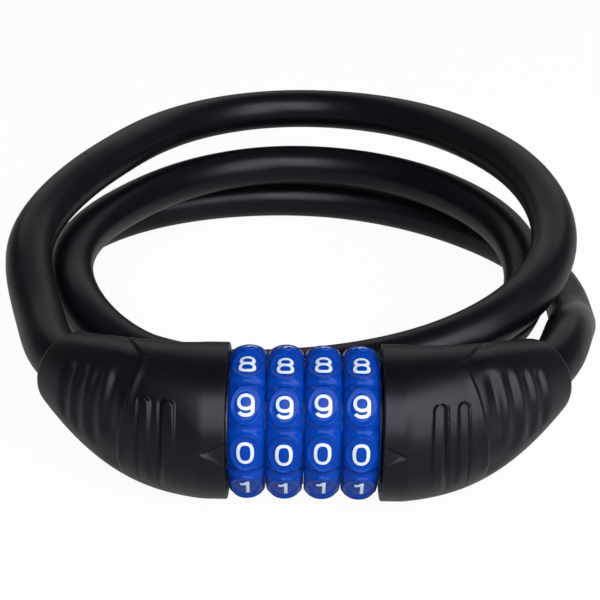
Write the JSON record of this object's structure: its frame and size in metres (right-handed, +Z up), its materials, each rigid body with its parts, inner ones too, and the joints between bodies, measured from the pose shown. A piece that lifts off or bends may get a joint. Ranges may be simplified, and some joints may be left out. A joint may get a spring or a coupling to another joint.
{
  "type": "combination cable lock",
  "caption": "Combination cable lock: number dials on a slotted core between two bent rubber covers, with a pull-out plug and a coiled steel cable in a plastic sheath.",
  "frame": {"origin": "on the barrel's axis, in the middle of the four dials", "axes": "+X along the barrel towards the plug side, +Y to the back where the coil lies, +Z up"},
  "size_m": [0.1571, 0.1966, 0.0418],
  "materials": {
    "cover_rubber": "moulded matte black rubber",
    "dial_plastic": "moulded semi-gloss blue plastic with white numbers",
    "sheath_vinyl": "extruded satin black vinyl",
    "rope_steel": "stranded galvanised steel wire rope",
    "turned_steel": "turned zinc-plated steel",
    "spring_steel": "bright spring steel",
    "die_cast": "raw grey die casting",
    "collar_brass": "turned brass"
  },
  "bodies": {
    "lock_body": {"left_cover": "cover_rubber", "lock_insert": "die_cast", "core_tube": "turned_steel", "detent_spring_1": "spring_steel", "detent_spring_2": "spring_steel", "detent_spring_3": "spring_steel", "detent_spring_4": "spring_steel", "clutch_spring": "spring_steel", "retaining_ring": "turned_steel", "tube_roll_pin": "spring_steel", "left_ferrule": "turned_steel", "left_ferrule_screw": "turned_steel", "cable_sheath": "sheath_vinyl", "cable_core": "rope_steel"},
    "dial_1_body": {"dial_1": "dial_plastic"},
    "dial_2_body": {"dial_2": "dial_plastic"},
    "dial_3_body": {"dial_3": "dial_plastic"},
    "dial_4_body": {"dial_4": "dial_plastic"},
    "clutch_1_body": {"clutch_ring_1": "die_cast"},
    "clutch_2_body": {"clutch_ring_2": "die_cast"},
    "clutch_3_body": {"clutch_ring_3": "die_cast"},
    "clutch_4_body": {"clutch_ring_4": "die_cast"},
    "washer_body": {"cam_washer": "collar_brass"},
    "collar_body": {"reset_collar": "collar_brass"},
    "plug_body": {"right_cover": "cover_rubber", "plug_insert": "die_cast", "plug_pin": "turned_steel", "plug_roll_pin": "spring_steel", "right_ferrule": "turned_steel", "right_ferrule_screw": "turned_steel"}
  },
  "joints": [
    {"name": "dial_1_turn", "type": "hinge", "parent": "lock_body", "child": "dial_1_body", "pos_m": [-0.012, 0, 0], "axis": [1, 0, 0], "continuous": true, "deforming": ["detent_spring_1"]},
    {"name": "dial_2_turn", "type": "hinge", "parent": "lock_body", "child": "dial_2_body", "pos_m": [-0.004, 0, 0], "axis": [1, 0, 0], "continuous": true, "deforming": ["detent_spring_2"]},
    {"name": "dial_3_turn", "type": "hinge", "parent": "lock_body", "child": "dial_3_body", "pos_m": [0.004, 0, 0], "axis": [1, 0, 0], "continuous": true, "deforming": ["detent_spring_3"]},
    {"name": "dial_4_turn", "type": "hinge", "parent": "lock_body", "child": "dial_4_body", "pos_m": [0.012, 0, 0], "axis": [1, 0, 0], "continuous": true, "deforming": ["detent_spring_4"]},
    {"name": "ring_1_shift", "type": "slide", "parent": "dial_1_body", "child": "clutch_1_body", "axis": [1, 0, 0], "range_m": [-0.0014, 0]},
    {"name": "ring_2_shift", "type": "slide", "parent": "dial_2_body", "child": "clutch_2_body", "axis": [1, 0, 0], "range_m": [-0.0014, 0]},
    {"name": "ring_3_shift", "type": "slide", "parent": "dial_3_body", "child": "clutch_3_body", "axis": [1, 0, 0], "range_m": [-0.0014, 0]},
    {"name": "ring_4_shift", "type": "slide", "parent": "dial_4_body", "child": "clutch_4_body", "axis": [1, 0, 0], "range_m": [-0.0014, 0]},
    {"name": "washer_shift", "type": "slide", "parent": "lock_body", "child": "washer_body", "axis": [1, 0, 0], "range_m": [-0.0014, 0], "deforming": ["clutch_spring"]},
    {"name": "reset_turn", "type": "hinge", "parent": "lock_body", "child": "collar_body", "pos_m": [0.0175, 0, 0], "axis": [1, 0, 0], "range_deg": [0, 90]},
    {"name": "plug_pull", "type": "slide", "parent": "lock_body", "child": "plug_body", "axis": [1, 0, 0], "range_m": [0, 0.045], "deforming": ["cable_sheath", "cable_core"]}
  ],
  "couplings": [
    {"joint": "ring_1_shift", "follows": "washer_shift", "ratio": 1},
    {"joint": "ring_2_shift", "follows": "washer_shift", "ratio": 1},
    {"joint": "ring_3_shift", "follows": "washer_shift", "ratio": 1},
    {"joint": "ring_4_shift", "follows": "washer_shift", "ratio": 1},
    {"joint": "reset_turn", "follows": "washer_shift", "rad_per_m": -1121.9}
  ]
}
